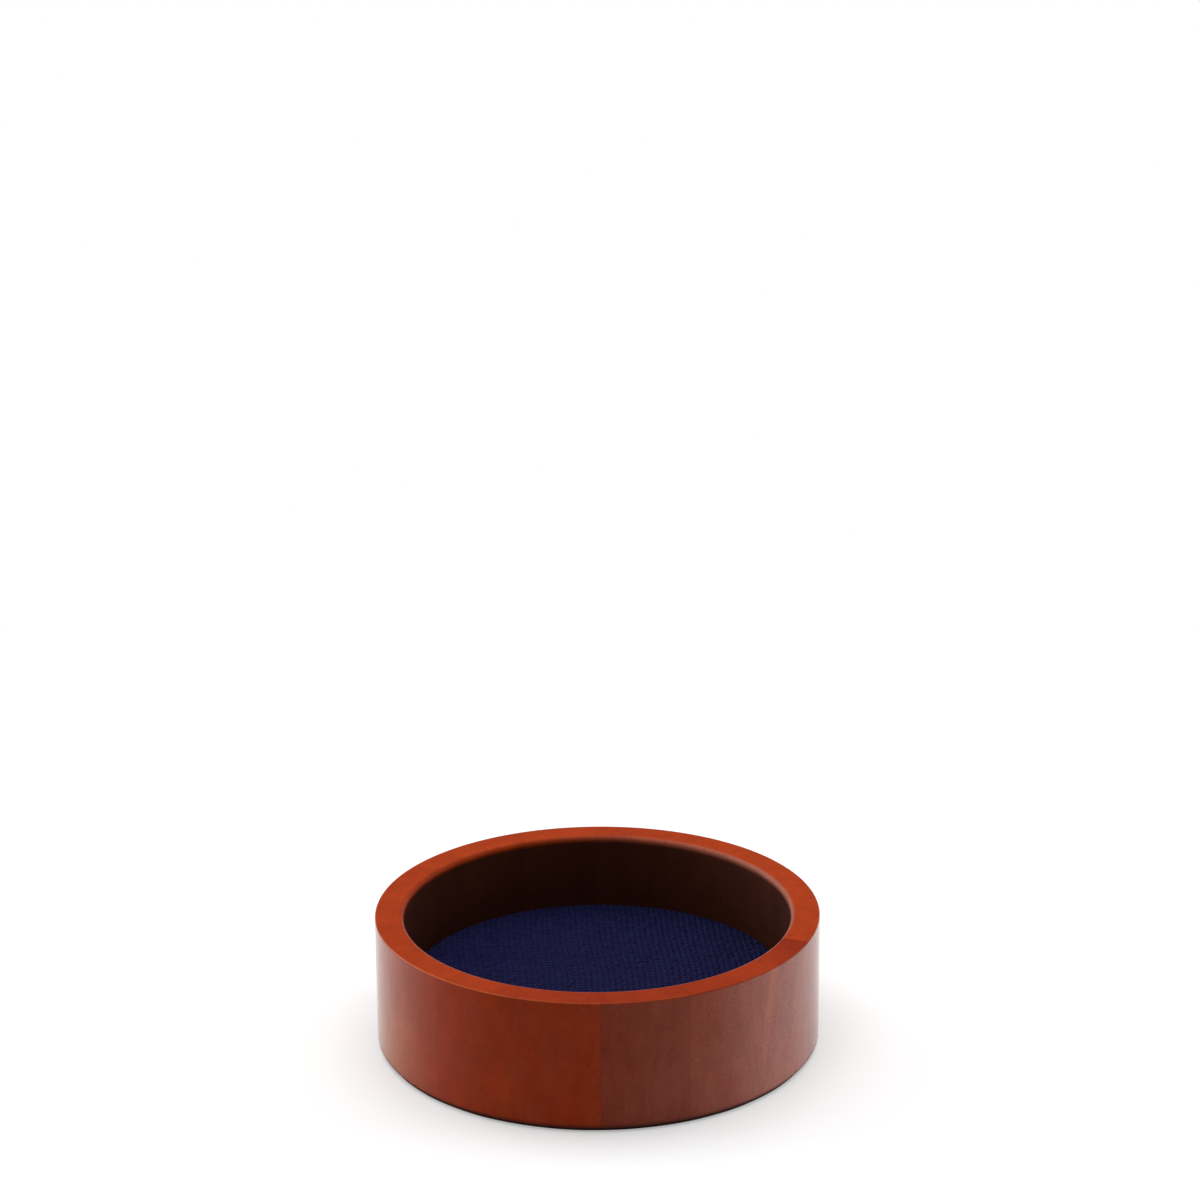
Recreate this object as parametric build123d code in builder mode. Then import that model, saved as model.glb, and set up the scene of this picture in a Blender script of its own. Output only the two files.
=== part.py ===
from build123d import *
import os

# A round wine bottle coaster: sixteen glued staves stand round a padded needlepoint floor.
# Millimetres, +Z up. The origin is the centre of the underside, where the felt meets the table.

# Ring of staves
RING_DIAMETER = 146.0
RING_HEIGHT = 43.4
WALL_THICKNESS = 9.5
STAVE_COUNT = 16
FRONT_JOINT_ANGLE = -90.0
RIM_INNER_RADIUS = 1.6
RIM_OUTER_RADIUS = 0.5
FOOT_RADIUS = 1.5

# Base disc, let into a rabbet in the foot of the staves
LIP_THICKNESS = 4.5
BASE_THICKNESS = 12.0
BASE_CLEARANCE = 0.2
BASE_CHAMFER = 0.6

# Felt pad, glued under the ring and the base disc
FELT_THICKNESS = 1.0
FELT_INSET = 1.4

# Needlepoint floor: a stitched canvas drawn over padding and a board, hemmed underneath
INSERT_GAP = 0.5
CANVAS_THICKNESS = 1.6
SHOULDER_RADIUS = 2.0
HEM_THICKNESS = 0.9
HEM_WIDTH = 12.0
HEM_FOLD_RADIUS = 0.5
PADDING_THICKNESS = 1.5
PADDING_INSET = 0.6
BOARD_THICKNESS = 3.0
BOARD_CLEARANCE = 0.2

# Radii worked out from the sizes above
ring_radius = RING_DIAMETER / 2
well_radius = ring_radius - WALL_THICKNESS
rabbet_radius = ring_radius - LIP_THICKNESS
base_radius = rabbet_radius - BASE_CLEARANCE
felt_radius = ring_radius - FELT_INSET
canvas_radius = well_radius - INSERT_GAP
canvas_inner_radius = canvas_radius - CANVAS_THICKNESS
hem_inner_radius = canvas_radius - HEM_WIDTH
board_radius = canvas_inner_radius - BOARD_CLEARANCE
padding_radius = board_radius - PADDING_INSET

# Heights, stacked up from the table
foot_height = FELT_THICKNESS
rim_height = foot_height + RING_HEIGHT
base_top = foot_height + BASE_THICKNESS
board_foot = base_top + HEM_THICKNESS
board_top = board_foot + BOARD_THICKNESS
padding_top = board_top + PADDING_THICKNESS
floor_height = padding_top + CANVAS_THICKNESS

stave_angle = 360 / STAVE_COUNT

os.makedirs("parts", exist_ok=True)

# Staves: one profile of the wall, turned through one stave's angle from joint to joint.
# Number one starts at the front joint, and the numbers run counter-clockwise from above.
for number in range(1, STAVE_COUNT + 1):
    joint_angle = FRONT_JOINT_ANGLE + (number - 1) * stave_angle
    with BuildPart() as stave:
        with BuildSketch(Plane.XZ.rotated((0, 0, joint_angle))) as wall:
            with BuildLine():
                Polyline(
                    (well_radius, base_top),
                    (well_radius, rim_height),
                    (ring_radius, rim_height),
                    (ring_radius, foot_height),
                    (rabbet_radius, foot_height),
                    (rabbet_radius, base_top),
                    close=True,
                )
            make_face()
            fillet(wall.vertices().group_by(Axis.Y)[-1].sort_by(Axis.X)[0], RIM_INNER_RADIUS)
            fillet(wall.vertices().group_by(Axis.Y)[-1].sort_by(Axis.X)[-1], RIM_OUTER_RADIUS)
            fillet(wall.vertices().group_by(Axis.Y)[0].sort_by(Axis.X)[-1], FOOT_RADIUS)
        revolve(axis=Axis.Z, revolution_arc=stave_angle)
    stave.part.label = f"stave_{number:02d}"
    export_step(stave.part, f"parts/{stave.part.label}.step")

# Base disc: fills the rabbet from below, flush with the foot of the staves.
with BuildPart() as base_disc:
    with BuildSketch(Plane.XY.offset(foot_height)):
        Circle(base_radius)
    extrude(amount=BASE_THICKNESS)
    chamfer(base_disc.faces().sort_by(Axis.Z)[-1].edges(), BASE_CHAMFER)
base_disc.part.label = "base_disc"
export_step(base_disc.part, "parts/base_disc.step")

# Mounting board: the stiff disc that the canvas is drawn over.
with BuildPart() as mounting_board:
    with BuildSketch(Plane.XY.offset(board_foot)):
        Circle(board_radius)
    extrude(amount=BOARD_THICKNESS)
mounting_board.part.label = "mounting_board"
export_step(mounting_board.part, "parts/mounting_board.step")

# Padding: a thin wad between the board and the canvas.
with BuildPart() as padding:
    with BuildSketch(Plane.XY.offset(board_top)):
        Circle(padding_radius)
    extrude(amount=PADDING_THICKNESS)
padding.part.label = "padding"
export_step(padding.part, "parts/padding.step")

# Needlepoint canvas: a flat floor with a rounded shoulder, a short side and a hem turned under.
with BuildPart() as needlepoint_canvas:
    with BuildSketch(Plane.XZ) as fold:
        with BuildLine():
            Polyline(
                (0, padding_top),
                (canvas_inner_radius, padding_top),
                (canvas_inner_radius, board_foot),
                (hem_inner_radius, board_foot),
                (hem_inner_radius, base_top),
                (canvas_radius, base_top),
                (canvas_radius, floor_height),
                (0, floor_height),
                close=True,
            )
        make_face()
        fillet(fold.vertices().group_by(Axis.Y)[-1].sort_by(Axis.X)[-1], SHOULDER_RADIUS)
        fillet(fold.vertices().group_by(Axis.Y)[0].sort_by(Axis.X)[-1], HEM_FOLD_RADIUS)
    revolve(axis=Axis.Z)
needlepoint_canvas.part.label = "needlepoint_canvas"
export_step(needlepoint_canvas.part, "parts/needlepoint_canvas.step")

# Felt pad: covers the foot and keeps the wood off the table.
with BuildPart() as felt_pad:
    with BuildSketch():
        Circle(felt_radius)
    extrude(amount=FELT_THICKNESS)
felt_pad.part.label = "felt_pad"
export_step(felt_pad.part, "parts/felt_pad.step")
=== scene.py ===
"""Dresses a packed bottle coaster: stained staves, a tent-stitched floor, felt and a white table.

Lengths are metres, but the materials work in millimetres. The coaster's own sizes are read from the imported
model, so a changed part is dressed the same way.
"""

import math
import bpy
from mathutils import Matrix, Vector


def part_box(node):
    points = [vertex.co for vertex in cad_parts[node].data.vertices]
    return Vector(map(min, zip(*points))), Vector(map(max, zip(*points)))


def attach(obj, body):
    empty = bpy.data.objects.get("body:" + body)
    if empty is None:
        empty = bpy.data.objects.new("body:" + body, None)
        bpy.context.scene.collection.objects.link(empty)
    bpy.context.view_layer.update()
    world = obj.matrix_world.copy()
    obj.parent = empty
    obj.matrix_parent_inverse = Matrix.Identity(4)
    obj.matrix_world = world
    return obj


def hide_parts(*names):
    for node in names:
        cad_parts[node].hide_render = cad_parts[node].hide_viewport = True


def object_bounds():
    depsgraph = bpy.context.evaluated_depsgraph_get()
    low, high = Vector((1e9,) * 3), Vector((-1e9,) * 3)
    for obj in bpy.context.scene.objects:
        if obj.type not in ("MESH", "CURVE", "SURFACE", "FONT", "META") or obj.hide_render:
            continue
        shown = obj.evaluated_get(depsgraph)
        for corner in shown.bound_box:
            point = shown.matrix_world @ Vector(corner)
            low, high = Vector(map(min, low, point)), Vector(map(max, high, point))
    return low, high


bl_info = {
    "name": "Needlepoint Bottle Coaster",
    "version": (1, 0, 0),
    "blender": (4, 5, 0),
    "location": "View3D > Sidebar > Coaster",
    "description": "Stained staves, a tent-stitched floor, a felt foot and a white table for a coaster",
    "category": "Object",
}

import bpy
import numpy as np
from bpy.props import FloatProperty, FloatVectorProperty, IntProperty, PointerProperty
from mathutils import Matrix, Vector

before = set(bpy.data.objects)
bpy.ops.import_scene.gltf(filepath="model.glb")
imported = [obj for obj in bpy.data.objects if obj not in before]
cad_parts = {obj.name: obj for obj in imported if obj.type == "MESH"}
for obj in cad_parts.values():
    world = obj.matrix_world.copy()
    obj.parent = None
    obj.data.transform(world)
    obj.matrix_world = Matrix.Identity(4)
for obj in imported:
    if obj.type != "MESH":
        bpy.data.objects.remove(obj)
CAD_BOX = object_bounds()
BODY = "root"
MM = 0.001
INCH = 0.0254

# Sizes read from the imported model
STAVES = sorted(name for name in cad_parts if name.startswith("stave_"))
STAVE_ANGLE = math.tau / len(STAVES)
FRONT_JOINT = -math.pi / 2
STAVE_LOW, STAVE_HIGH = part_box(STAVES[0])
CANVAS_LOW, CANVAS_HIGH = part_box("needlepoint_canvas")
PADDING_LOW, PADDING_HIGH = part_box("padding")
FELT_LOW, FELT_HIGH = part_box("felt_pad")

# Radii and heights in millimetres, for materials. The first stave stands to the right of the front joint, so
# its rearmost point is on the well's edge at its other joint, and gives the well's radius.
RING_MM = CAD_BOX[1].x / MM
WELL_MM = -STAVE_HIGH.y / math.cos(STAVE_ANGLE) / MM
RIM_MM = CAD_BOX[1].z / MM
FOOT_MM = STAVE_LOW.z / MM
FLOOR_MM = CANVAS_HIGH.z / MM
BASE_TOP_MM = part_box("base_disc")[1].z / MM


class CoasterWood(bpy.types.PropertyGroup):
    """The stain, grain and lacquer of the staves."""

    warm: FloatVectorProperty(
        name="Warm stain",
        description="Colour of the warmer staves",
        subtype="COLOR",
        default=(0.38, 0.036, 0.005),
    )
    # The cool stain is partly painted sheen: its paler, pinker colour stands in for the light that the sides
    # of the wall reflect
    cool_and_sheen: FloatVectorProperty(
        name="Cool stain",
        description="Colour of the browner staves",
        subtype="COLOR",
        default=(0.42, 0.162, 0.127),
    )
    # Lower down the browner staves turn tan: their painted sheen gives way where the wall reflects the shaded
    # table
    tan: FloatVectorProperty(
        name="Tan stain",
        description="Colour that the browner staves turn to lower down, where the stain is thin",
        subtype="COLOR",
        default=(0.42, 0.20, 0.045),
    )
    rim: FloatVectorProperty(
        name="Rim stain",
        description="Colour of the end grain on top of the rim",
        subtype="COLOR",
        default=(0.42, 0.047, 0.0065),
    )
    # The deep stain is also a painted shadow and dark reflection on the front of the rim
    deep: FloatVectorProperty(
        name="Deep stain",
        description="Colour of the late wood and of blotches that took more stain",
        subtype="COLOR",
        default=(0.24, 0.018, 0.004),
    )
    # The pale wood is also the painted highlight on the rim's inner rounding
    pale: FloatVectorProperty(
        name="Pale wood",
        description="Colour of the narrow sapwood streak and of the rim's rounding where it is rubbed",
        subtype="COLOR",
        default=(0.52, 0.17, 0.115),
    )
    # The inside stain is darker than the wall's stain: painted shade in the well
    inside: FloatVectorProperty(
        name="Inside stain",
        description="Colour of the wall inside the well",
        subtype="COLOR",
        default=(0.102, 0.028, 0.0145),
    )
    # The worn edge is wear and a painted highlight: a paler line along the rim's outer edge where light
    # glints
    worn_and_highlight: FloatVectorProperty(
        name="Worn edge",
        description="Colour of the outer edge of the rim, where the stain has rubbed thin",
        subtype="COLOR",
        default=(0.62, 0.17, 0.07),
    )
    ring_spacing: FloatProperty(
        name="Ring spacing",
        description="Distance between growth rings",
        unit="LENGTH",
        default=3.4 * MM,
    )
    pore_length: FloatProperty(
        name="Pore length",
        description="Length of the dark pores along the grain",
        unit="LENGTH",
        default=0.5 * MM,
    )
    pore_width: FloatProperty(
        name="Pore width",
        description="Width of the dark pores across the grain",
        unit="LENGTH",
        default=0.20 * MM,
    )
    gloss_roughness: FloatProperty(
        name="Lacquer roughness",
        description="Roughness of the satin lacquer",
        subtype="FACTOR",
        default=0.15,
    )
    lacquer_ior: FloatProperty(
        name="Lacquer index",
        description="Refractive index of the thin lacquer",
        default=1.50,
    )
    lacquer_tint: FloatVectorProperty(
        name="Lacquer tint",
        description="Colour that the lacquer gives to what it mirrors head-on",
        subtype="COLOR",
        default=(0.45, 0.11, 0.045),
    )


class CoasterNeedlepoint(bpy.types.PropertyGroup):
    """The mesh of the canvas and the yarn of the stitches."""

    mesh_count: IntProperty(
        name="Mesh count",
        description="Canvas holes to the inch",
        default=13,
    )
    row_turn: FloatProperty(
        name="Row turn",
        description="How far the rows are turned from the front, seen from above",
        subtype="ANGLE",
        default=math.radians(3.4),
    )
    yarn_height: FloatProperty(
        name="Yarn height",
        description="How far a stitch stands above the canvas",
        unit="LENGTH",
        default=0.8 * MM,
    )
    yarn_fullness: FloatProperty(
        name="Yarn fullness",
        description="Width of a stitch as a share of the room that it has",
        subtype="FACTOR",
        default=1.14,
        soft_max=1.3,
    )
    navy: FloatVectorProperty(
        name="Yarn colour",
        description="Colour of the navy wool",
        subtype="COLOR",
        default=(0.0052, 0.0052, 0.036),
    )
    navy_light: FloatVectorProperty(
        name="Yarn lights",
        description="Colour of the fibres that catch the light",
        subtype="COLOR",
        default=(0.012, 0.012, 0.068),
    )
    ground: FloatVectorProperty(
        name="Canvas colour",
        description="Colour of the canvas under the stitches",
        subtype="COLOR",
        default=(0.008, 0.008, 0.030),
    )


class CoasterFelt(bpy.types.PropertyGroup):
    """The felt under the foot."""

    colour: FloatVectorProperty(
        name="Felt colour",
        description="Colour of the pressed felt",
        subtype="COLOR",
        default=(0.038, 0.020, 0.015),
    )
    edge_wobble: FloatProperty(
        name="Edge wobble",
        description="How uneven the cut edge of the felt is",
        unit="LENGTH",
        default=0.12 * MM,
    )


class CoasterStage(bpy.types.PropertyGroup):
    """The table, the light and the camera."""

    eye: FloatVectorProperty(
        name="Camera place",
        description="Where the camera stands before its turn round the coaster",
        subtype="TRANSLATION",
        default=(0.00165, -1.11928, 0.52752),
    )
    pitch: FloatProperty(
        name="Camera pitch",
        description="How far the camera looks down",
        subtype="ANGLE",
        default=math.radians(18.405),
    )
    roll: FloatProperty(
        name="Camera roll",
        description="How far the camera leans",
        subtype="ANGLE",
        default=math.radians(-0.417),
    )
    turn: FloatProperty(
        name="Camera turn",
        description="How far the camera is walked round the coaster",
        subtype="ANGLE",
        default=math.radians(-0.7),
    )
    focal_pixels: FloatProperty(
        name="Focal length in pixels",
        description="Focal length measured in pixels of a picture 1200 wide",
        default=3697.4,
    )
    key_power: FloatProperty(
        name="Softbox power",
        description="Power of the overhead softbox",
        subtype="POWER",
        default=12.4,
    )
    left_power: FloatProperty(
        name="Left power",
        description="Power of the softbox on the left",
        subtype="POWER",
        default=8.6,
    )
    right_power: FloatProperty(
        name="Right power",
        description="Power of the softbox on the right",
        subtype="POWER",
        default=7.6,
    )
    table: FloatProperty(
        name="Table paleness",
        description="How pale the table is, from black to white",
        subtype="FACTOR",
        default=0.66,
    )


# Small tools for meshes

# Innermost ring of a turned disc, as a share of its radius
INNERMOST = 0.02


def piece(name, points, faces, slot):
    """Makes a smooth mesh object at the origin that rides on the coaster. The slot is not used."""
    mesh = bpy.data.meshes.new(name)
    mesh.from_pydata(points, [], faces)
    mesh.validate()
    mesh.polygons.foreach_set("use_smooth", np.full(len(mesh.polygons), True))
    made = bpy.data.objects.new(name, mesh)
    bpy.context.scene.collection.objects.link(made)
    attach(made, BODY)
    return made


def dress(made, material):
    """Gives an object one material in place of those it has."""
    made.data.materials.clear()
    made.data.materials.append(material)


def level(radii, height):
    """Rows of (radius, height) that all have one height."""
    return np.stack([radii, np.full_like(radii, height)], axis=1)


def arc(centre, radius, start, end, steps):
    """Points on a circle's arc: centre plus radius times the cosine and sine of even angles, in degrees."""
    angles = np.radians(np.linspace(start, end, steps))
    return np.stack([centre[0] + radius * np.cos(angles), centre[1] + radius * np.sin(angles)], axis=1)


def even_angles(segments):
    """Angles that divide a full turn evenly."""
    return np.arange(segments) * math.tau / segments


def spun(profile, segments):
    """Turns a profile about Z.

    Each row (radius, height) becomes a ring: x and y are the radius times the cosine and sine of even angles.
    """
    angles = even_angles(segments)
    radius, height = profile[:, :1], profile[:, 1:]
    turned = [radius * np.cos(angles), radius * np.sin(angles), np.repeat(height, segments, axis=1)]
    return np.stack(turned, axis=2)


def ring_faces(rings, segments):
    """Quads between neighbouring rings of a turned grid, wound so that they face left of the profile."""
    row, column = np.meshgrid(np.arange(rings - 1), np.arange(segments), indexing="ij")
    after = (column + 1) % segments
    corners = [row * segments + column, row * segments + after]
    corners += [(row + 1) * segments + after, (row + 1) * segments + column]
    return np.stack(corners, axis=2).reshape(-1, 4)


def cap_faces(ring, centre, segments, flip):
    """Triangles that close a ring of a turned grid to one centre point."""
    column = np.arange(segments)
    first, second = ring * segments + column, ring * segments + (column + 1) % segments
    pair = (second, first) if flip else (first, second)
    return np.stack([*pair, np.full(segments, centre)], axis=1)


def closed(grid, low, high):
    """Points and faces of a turned grid whose first ring is closed at the height low and its last at high."""
    rings, segments = grid.shape[:2]
    points = np.concatenate([grid.reshape(-1, 3), [[0, 0, low], [0, 0, high]]])
    last = len(points) - 1
    faces = ring_faces(rings, segments).tolist()
    faces += cap_faces(0, last - 1, segments, True).tolist()
    faces += cap_faces(rings - 1, last, segments, False).tolist()
    return points, faces


def ripple(angles, amount, waves, seed):
    """An uneven edge, up to amount: a sum of sines of whole waves round the circle with seeded phases."""
    draw = np.random.default_rng(seed)
    counts = np.arange(2, 2 + waves)
    phases = draw.uniform(0, math.tau, waves)
    heights = draw.uniform(0.3, 1.0, waves) / np.sqrt(counts)
    total = (heights[:, None] * np.sin(counts[:, None] * angles + phases[:, None])).sum(axis=0)
    return amount * total / np.abs(total).max()


# Small tools for materials

WHITE = (1.0, 1.0, 1.0)
FLAT = (1.0, 1.0, 0.0)


class Nodes:
    """The shader nodes of a material or a world. Most methods add a node and give its output."""

    def __init__(self, holder):
        holder.use_nodes = True
        self.tree = holder.node_tree
        self.tree.nodes.clear()

    def put(self, kind, values=None, **settings):
        """Adds a node, and feeds each input that values names."""
        made = self.tree.nodes.new("ShaderNode" + kind)
        for key, value in settings.items():
            setattr(made, key, value)
        self.feed(made, values or {})
        return made

    def feed(self, node, values):
        """Links or sets each input of a node that values names."""
        for key, value in values.items():
            socket = node.inputs[key]
            if isinstance(value, bpy.types.NodeSocket):
                self.tree.links.new(value, socket)
            elif socket.type == "RGBA":
                socket.default_value = (*value, 1.0)
            else:
                socket.default_value = value

    def calc(self, operation, *values, clamp=False):
        """One sum on numbers."""
        return self.put("Math", dict(enumerate(values)), operation=operation, use_clamp=clamp).outputs[0]

    def plus(self, first, second):
        """First plus second."""
        return self.calc("ADD", first, second)

    def times(self, first, second):
        """First times second."""
        return self.calc("MULTIPLY", first, second)

    def scaled(self, value, factor, offset):
        """Value times factor, plus offset."""
        return self.calc("MULTIPLY_ADD", value, factor, offset)

    def dimmed(self, tone, where, depth):
        """The tone, which loses the share depth of itself as where goes from 0 to 1."""
        return self.times(tone, self.scaled(where, -depth, 1.0))

    def rise(self, value, low, high):
        """A smooth step from 0 at low to 1 at high."""
        settings = {"Value": value, "From Min": low, "From Max": high}
        return self.put("MapRange", settings, interpolation_type="SMOOTHSTEP").outputs[0]

    def fall(self, value, low, high):
        """A smooth step from 1 at low to 0 at high."""
        return self.calc("SUBTRACT", 1.0, self.rise(value, low, high))

    def span(self, value, low, high):
        """A straight change of 0 to 1 into low to high."""
        return self.put("MapRange", {"Value": value, "To Min": low, "To Max": high}).outputs[0]

    def vector(self, operation, first, second):
        """One sum on vectors."""
        return self.put("VectorMath", {0: first, 1: second}, operation=operation).outputs[0]

    def length(self, vector):
        """The length of a vector."""
        return self.put("VectorMath", {0: vector}, operation="LENGTH").outputs["Value"]

    def from_axis(self, place):
        """How far a place is from the upright axis."""
        return self.length(self.vector("MULTIPLY", place, FLAT))

    def parts(self, vector):
        """The three numbers of a vector."""
        return self.put("SeparateXYZ", {0: vector}).outputs

    def joined(self, *numbers):
        """A vector of three numbers."""
        return self.put("CombineXYZ", dict(enumerate(numbers))).outputs[0]

    def millimetres(self):
        """Object coordinates, in millimetres."""
        place = self.put("TexCoord").outputs["Object"]
        return self.put("VectorMath", {0: place, "Scale": 1 / MM}, operation="SCALE").outputs[0]

    def noise(self, where, rate, detail=2.0, roughness=0.5, distortion=0.0):
        """Smooth noise from 0 to 1. The rate is one number, or one for each axis to draw the noise out."""
        if not isinstance(rate, float):
            where, rate = self.vector("MULTIPLY", where, rate), 1.0
        values = {"Vector": where, "Scale": rate, "Detail": detail, "Roughness": roughness}
        values["Distortion"] = distortion
        return self.put("TexNoise", values).outputs["Fac"]

    def blend(self, factor, first, second, mode="MIX"):
        """Mixes two colours."""
        values = {0: factor, 6: first, 7: second}
        return self.put("Mix", values, data_type="RGBA", blend_type=mode).outputs[2]

    def toned(self, colour, tone):
        """A colour times a tone."""
        grey = self.put("CombineColor", {0: tone, 1: tone, 2: tone}).outputs[0]
        return self.blend(1.0, colour, grey, "MULTIPLY")

    def bump(self, shader, height, depth):
        """Gives a shader a bump whose full height is depth."""
        made = self.put("Bump", {"Strength": 1.0, "Distance": depth, "Height": height})
        self.feed(shader, {"Normal": made.outputs[0]})


def principled(name):
    """A new material with an empty Principled shader: the material, its nodes and the shader."""
    material = bpy.data.materials.new(name)
    nodes = Nodes(material)
    shader = nodes.put("BsdfPrincipled")
    nodes.put("OutputMaterial", {"Surface": shader.outputs[0]})
    return material, nodes, shader


def share_of(colour, share):
    """A colour made darker or lighter by a share."""
    return tuple(share * channel for channel in colour)


def from_edge(edge, distances):
    """Places at given distances from an edge."""
    return [edge + distance for distance in distances]


# Staves

STAVE_SEED = 100

# On most staves: how far the rim's outer edge is worn and carries a painted highlight, the painted shade of
# the wall inside the well at the floor and further up, and the share of the pores that is open
USUAL_WEAR_AND_HIGHLIGHT = 0.12
USUAL_PAINTED_INNER_SHADE = (0.85, 1.0)
USUAL_PORES = 0.20

# Tones of the staves seen from the front, painted light among them: number, then at the stave's two joints
# the coolness of the wall, partly painted sheen, the shade of the wall, partly painted light and shade, the
# rim's tone, on the front staves a painted shadow, and last how far the rim's outer edge is worn and carries
# a painted highlight
SEEN_TONES = (
    (1, (0.31, 0.54), (0.73, 0.81), (0.36, 0.42), 0.25),
    (2, (0.56, 1.00), (0.92, 1.33), (0.46, 0.72), 0.10),
    (3, (1.00, 1.00), (1.28, 1.36), (0.74, 0.16), 0.05),
    (4, (1.00, 0.30), (1.28, 0.96), (0.90, 0.98), 0.05),
    (5, (0.45, 0.25), (1.06, 1.04), (0.98, 1.00), 0.05),
    (6, (0.20, 0.20), (1.04, 1.04), (1.00, 1.00), 0.05),
    (7, (0.15, 0.15), (1.04, 1.04), (1.00, 1.00), 0.05),
    (12, (0.25, 0.70), (1.06, 1.30), (1.00, 0.94), 0.15),
    (13, (1.00, 0.50), (1.38, 1.38), (0.92, 0.84), 0.40),
    (14, (0.38, 0.02), (1.42, 1.33), (0.84, 0.92), 0.60),
    (15, (0.00, 0.00), (1.26, 1.02), (0.92, 0.62), 0.60),
    (16, (0.03, 0.09), (0.98, 1.00), (0.58, 0.38), 0.40),
)

# How far the rim's inner rounding carries a painted highlight, at each stave's two joints
PAINTED_HIGHLIGHTS = {
    4: (0.3, 0.9),
    5: (0.9, 0.85),
    6: (0.85, 0.8),
    7: (0.8, 0.6),
    8: (0.6, 0.2),
    9: (0.2, 0.0),
}

# Painted shade of the wall inside the well where it isn't the usual one; on the left it stands in for a cast
# shadow
PAINTED_INNER_SHADES = {
    5: (0.70, 0.90),
    9: (0.75, 0.88),
    10: (0.62, 0.75),
    11: (0.50, 0.62),
    12: (0.50, 0.62),
    13: (0.50, 0.65),
    14: (0.60, 0.75),
    15: (0.70, 0.85),
}

# How far a stave's brown turns to tan lower down, which takes out its painted sheen there
TAN_SHARES = {12: 0.3, 13: 0.6, 14: 1.0, 15: 1.0}

# Staves with more open pores, and the one with a leaning streak of sapwood
POROUS_STAVES = (2, 3, 4)
POROUS_SHARE = 0.36
STREAKED_STAVE = 3
STREAK_LEAN = 0.18

# Where regions of a stave fade in or out, in millimetres from the joint or edge that bounds them
JOINT_FADE = (0.03, 0.16)
INNER_WALL_FADE = (0.02, 0.2)
INNER_TOP_FADE = (-2.6, -1.4)
WALL_TOP_FADE = (-0.8, -0.2)
WALL_INNER_FADE = (2.5, 3.5)
ROUNDING_FADE = (0.4, 1.6)
WORN_AND_HIGHLIGHT_FADE = (-0.45, -0.25)
FOOT_FADE = (0.4, 2.2)
OUTER_FADE = (-2.5, -0.5)

# Heights in millimetres between which the tan, the painted light of the table's bounce low on the wall and
# the streak's faint foot end
TAN_FADE = (5.0, 50.0)
FLOOR_BOUNCE_FADE = (3.0, 28.0)
STREAK_FADE = (4.0, 30.0)
PAINTED_WELL_SHADE_HEIGHT = 13.0

# Noises of the wood: rates to the millimetre along the stave's axes, detail and roughness
RING_DRIFT = ((0.06, 0.06, 0.018), 3.0)
FIBRE = ((1.6, 1.6, 0.30), 5.0, 0.65)
CLOUD = ((0.13, 0.13, 0.10), 3.0, 0.6)
FLUSH = ((0.08, 0.08, 0.06), 2.0, 0.6)
SPECKLE = (1.3, 4.0, 0.75)
BLOTCH = (0.035, 3.0, 0.6)

# Growth rings: how many millimetres they drift, and where late wood begins, is darkest and ends in each
RING_DRIFT_REACH = 14.0
LATE_WOOD = (0.35, 0.92, 1.0)

# Pores: their share of a cell's size, where a pore's edge fades in its cell, and how soft the choice is
PORE_SHARE = 0.42
PORE_EDGE = (0.14, 0.30)
PORE_CHOICE = 0.18

# How far the grain changes the stain's colour and tone, and how much painted light the low wall and painted
# shade the rim's inner rounding and the foot get
FLUSH_REACH = 0.35
BLOTCH_GAIN = (1.5, -0.45)
BLOTCH_SHARE = 0.35
LATE_SHARE = 0.08
SPECKLE_REACH = (0.66, 0.74)
FIBRE_TONES = (0.94, 1.06)
CLOUD_TONES = (0.76, 1.24)
FLOOR_BOUNCE_TONES = (0.77, 0.86)
PORE_DEPTH = 0.7
JOINT_DEPTH = 0.12
# Painted shade on the rim's inner rounding
ROUNDING_SHADE_DEPTH = 0.26
# Painted shade at the foot, next to the table
FOOT_SHADE_DEPTH = 0.66

# Streak: millimetres from its line's foot to the joint, its half width at the foot and how that grows
STREAK_SHIFT = 2.2
STREAK_HALF_WIDTH = 1.7
STREAK_GROWTH = 0.022
STREAK_EDGE = (0.5, 1.0)
STREAK_SHARES = (0.35, 0.8)

# Lacquer: how much rougher it is on fibres, inside the well, on the rim's rounding and at the foot
FIBRE_DULLING = 0.08
INSIDE_DULLING = 0.15
ROUNDING_DULLING = 0.25
FOOT_DULLING = 0.75
FIBRE_RELIEF = 0.25
JOINT_RELIEF = 0.6
LACQUER_RELIEF = 0.008 * MM


class Stave:
    """What one stave looks like: where it stands, its tone and how its grain runs."""

    def __init__(self, number):
        draw = np.random.default_rng(STAVE_SEED + number)
        self.number = number
        self.middle = FRONT_JOINT + (number - 0.5) * STAVE_ANGLE
        # Random tones for staves not seen from the front; SEEN_TONES puts painted sheen, light, shade and
        # highlights into the seen ones
        self.coolness_and_sheen = (float(draw.uniform(0.0, 0.30)),) * 2
        self.shade = (float(draw.uniform(0.98, 1.12)),) * 2
        self.rim_tone_and_shadow = (float(draw.uniform(0.80, 1.00)),) * 2
        self.lean = float(draw.uniform(-0.10, 0.10))
        self.pith = Vector(draw.uniform((35.0, -30.0), (110.0, 30.0)).tolist() + [0.0])
        self.start = Vector(draw.uniform(-400.0, 400.0, 3).tolist())
        self.wear_and_highlight = USUAL_WEAR_AND_HIGHLIGHT
        self.painted_highlight = PAINTED_HIGHLIGHTS.get(number, (0.0, 0.0))
        self.painted_inner_shade = PAINTED_INNER_SHADES.get(number, USUAL_PAINTED_INNER_SHADE)
        self.tan = TAN_SHARES.get(number, 0.0)
        self.pores = POROUS_SHARE if number in POROUS_STAVES else USUAL_PORES
        self.streak = number == STREAKED_STAVE
        if self.streak:
            self.lean = STREAK_LEAN


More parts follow.
